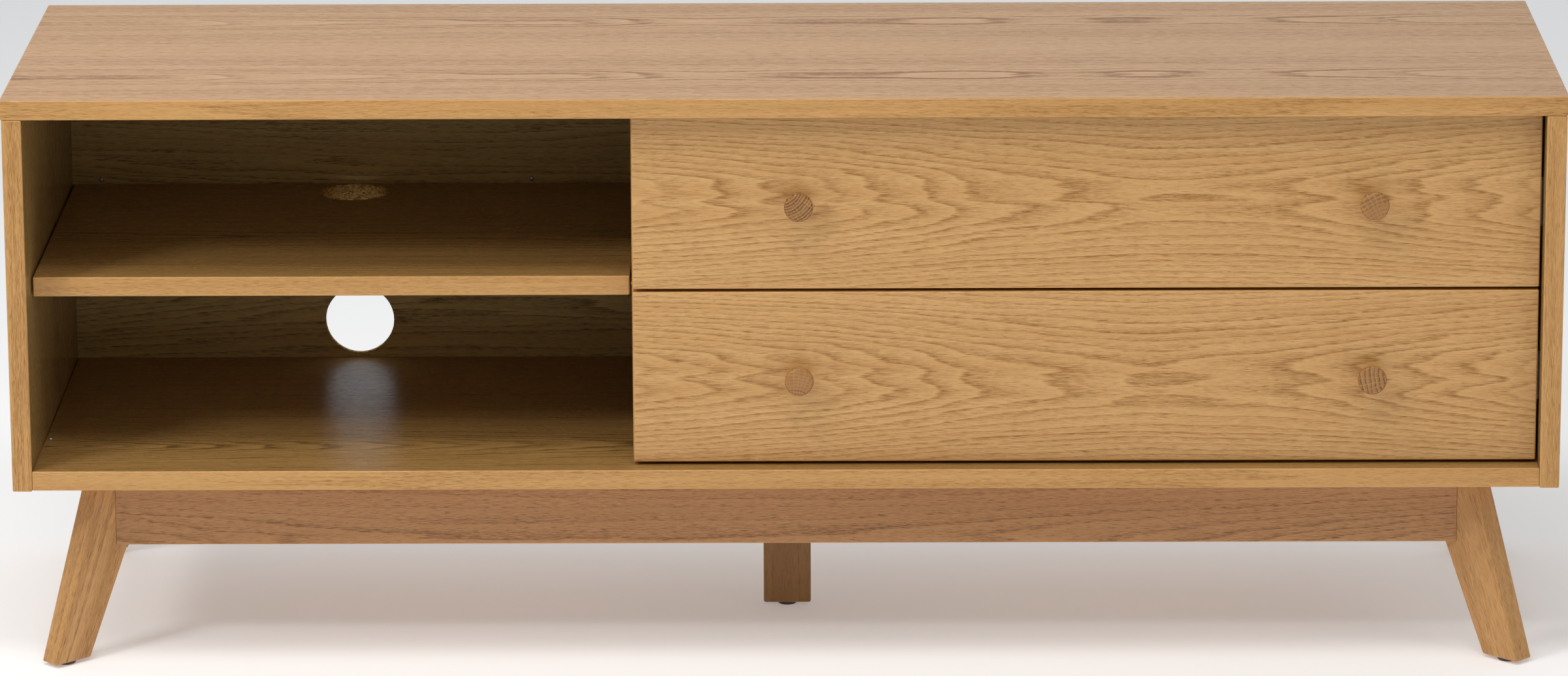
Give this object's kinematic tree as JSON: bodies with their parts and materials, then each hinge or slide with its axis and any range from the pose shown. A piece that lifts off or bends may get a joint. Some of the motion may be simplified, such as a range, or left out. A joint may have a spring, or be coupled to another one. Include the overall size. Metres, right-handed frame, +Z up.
{
  "type": "television bench",
  "caption": "Low oak television bench with wide knobbed drawers beside an open bay with a shelf and cable holes, on splayed diagonal plank legs and a centre leg.",
  "frame": {"origin": "on the floor, under the centre of the bench's bounding box", "axes": "+X along the bench, towards the drawers; +Y from the front to the back; +Z up"},
  "size_m": [1.4, 0.4222, 0.53],
  "materials": {
    "top_veneer": "satin lacquered oak veneer",
    "front_veneer": "satin lacquered oak veneer",
    "carcass_veneer": "satin lacquered oak veneer",
    "leg_oak": "satin lacquered solid oak",
    "rail_oak": "satin lacquered solid oak, coarse grain",
    "knob_oak": "satin lacquered end-grain oak",
    "drawer_board": "lacquered plywood",
    "steel": "zinc plated steel",
    "plastic": "satin brown plastic"
  },
  "bodies": {
    "bench": {"top_panel": "top_veneer", "bottom_panel": "carcass_veneer", "left_side_panel": "carcass_veneer", "right_side_panel": "carcass_veneer", "centre_divider": "carcass_veneer", "back_panel": "carcass_veneer", "bay_shelf": "carcass_veneer", "shelf_pin_front_left": "steel", "shelf_pin_rear_left": "steel", "shelf_pin_front_right": "steel", "shelf_pin_rear_right": "steel", "back_pin_left": "steel", "back_pin_right": "steel", "bay_floor_screw": "steel", "front_apron": "rail_oak", "rear_apron": "rail_oak", "left_rail": "rail_oak", "right_rail": "rail_oak", "centre_rail": "rail_oak", "front_left_leg": "leg_oak", "front_right_leg": "leg_oak", "rear_left_leg": "leg_oak", "rear_right_leg": "leg_oak", "centre_leg": "rail_oak", "front_left_glide": "plastic", "front_right_glide": "plastic", "rear_left_glide": "plastic", "rear_right_glide": "plastic", "centre_glide": "plastic", "lower_left_runner_cabinet": "steel", "lower_right_runner_cabinet": "steel", "upper_left_runner_cabinet": "steel", "upper_right_runner_cabinet": "steel"},
    "upper_drawer": {"upper_drawer_front": "front_veneer", "upper_drawer_left_side": "drawer_board", "upper_drawer_right_side": "drawer_board", "upper_drawer_back": "drawer_board", "upper_drawer_bottom": "drawer_board", "upper_left_knob": "knob_oak", "upper_left_knob_screw": "steel", "upper_left_runner_drawer": "steel", "upper_right_knob": "knob_oak", "upper_right_knob_screw": "steel", "upper_right_runner_drawer": "steel"},
    "lower_drawer": {"lower_drawer_front": "front_veneer", "lower_drawer_left_side": "drawer_board", "lower_drawer_right_side": "drawer_board", "lower_drawer_back": "drawer_board", "lower_drawer_bottom": "drawer_board", "lower_left_knob": "knob_oak", "lower_left_knob_screw": "steel", "lower_left_runner_drawer": "steel", "lower_right_knob": "knob_oak", "lower_right_knob_screw": "steel", "lower_right_runner_drawer": "steel"},
    "upper_runner_middles": {"upper_left_runner_middle": "steel", "upper_right_runner_middle": "steel"},
    "lower_runner_middles": {"lower_left_runner_middle": "steel", "lower_right_runner_middle": "steel"}
  },
  "joints": [
    {"name": "upper_drawer_slide", "type": "slide", "parent": "bench", "child": "upper_drawer", "axis": [0, -1, 0], "range_m": [0, 0.35]},
    {"name": "lower_drawer_slide", "type": "slide", "parent": "bench", "child": "lower_drawer", "axis": [0, -1, 0], "range_m": [0, 0.35]},
    {"name": "upper_runner_slide", "type": "slide", "parent": "bench", "child": "upper_runner_middles", "axis": [0, -1, 0], "range_m": [0, 0.175]},
    {"name": "lower_runner_slide", "type": "slide", "parent": "bench", "child": "lower_runner_middles", "axis": [0, -1, 0], "range_m": [0, 0.175]}
  ],
  "couplings": [
    {"joint": "upper_runner_slide", "follows": "upper_drawer_slide", "ratio": 0.5},
    {"joint": "lower_runner_slide", "follows": "lower_drawer_slide", "ratio": 0.5}
  ]
}
